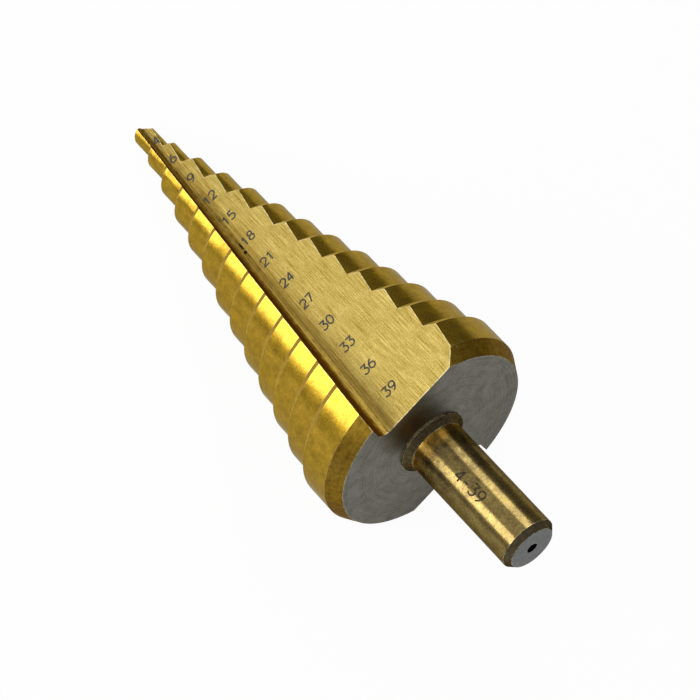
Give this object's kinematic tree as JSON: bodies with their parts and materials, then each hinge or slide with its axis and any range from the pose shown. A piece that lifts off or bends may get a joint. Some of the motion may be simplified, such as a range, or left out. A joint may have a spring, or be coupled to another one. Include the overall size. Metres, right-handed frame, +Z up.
{
  "type": "step drill",
  "caption": "Conical step drill with straight V flutes, backed-off lands in rising diameters, a pilot point and a plain round shank.",
  "frame": {"origin": "under the middle of the tool's box, on the surface that it lies on", "axes": "+Z up; the tool lies on its lower flute with its point towards -X, its shank towards +X and its numbered flute up, so its own axis climbs 11.9 degrees from -X to +X"},
  "size_m": [0.1056, 0.0388, 0.035],
  "materials": {
    "coated_steel": "titanium nitride coated, ground"
  },
  "bodies": {
    "root": {"step_drill": "coated_steel"}
  },
  "joints": []
}
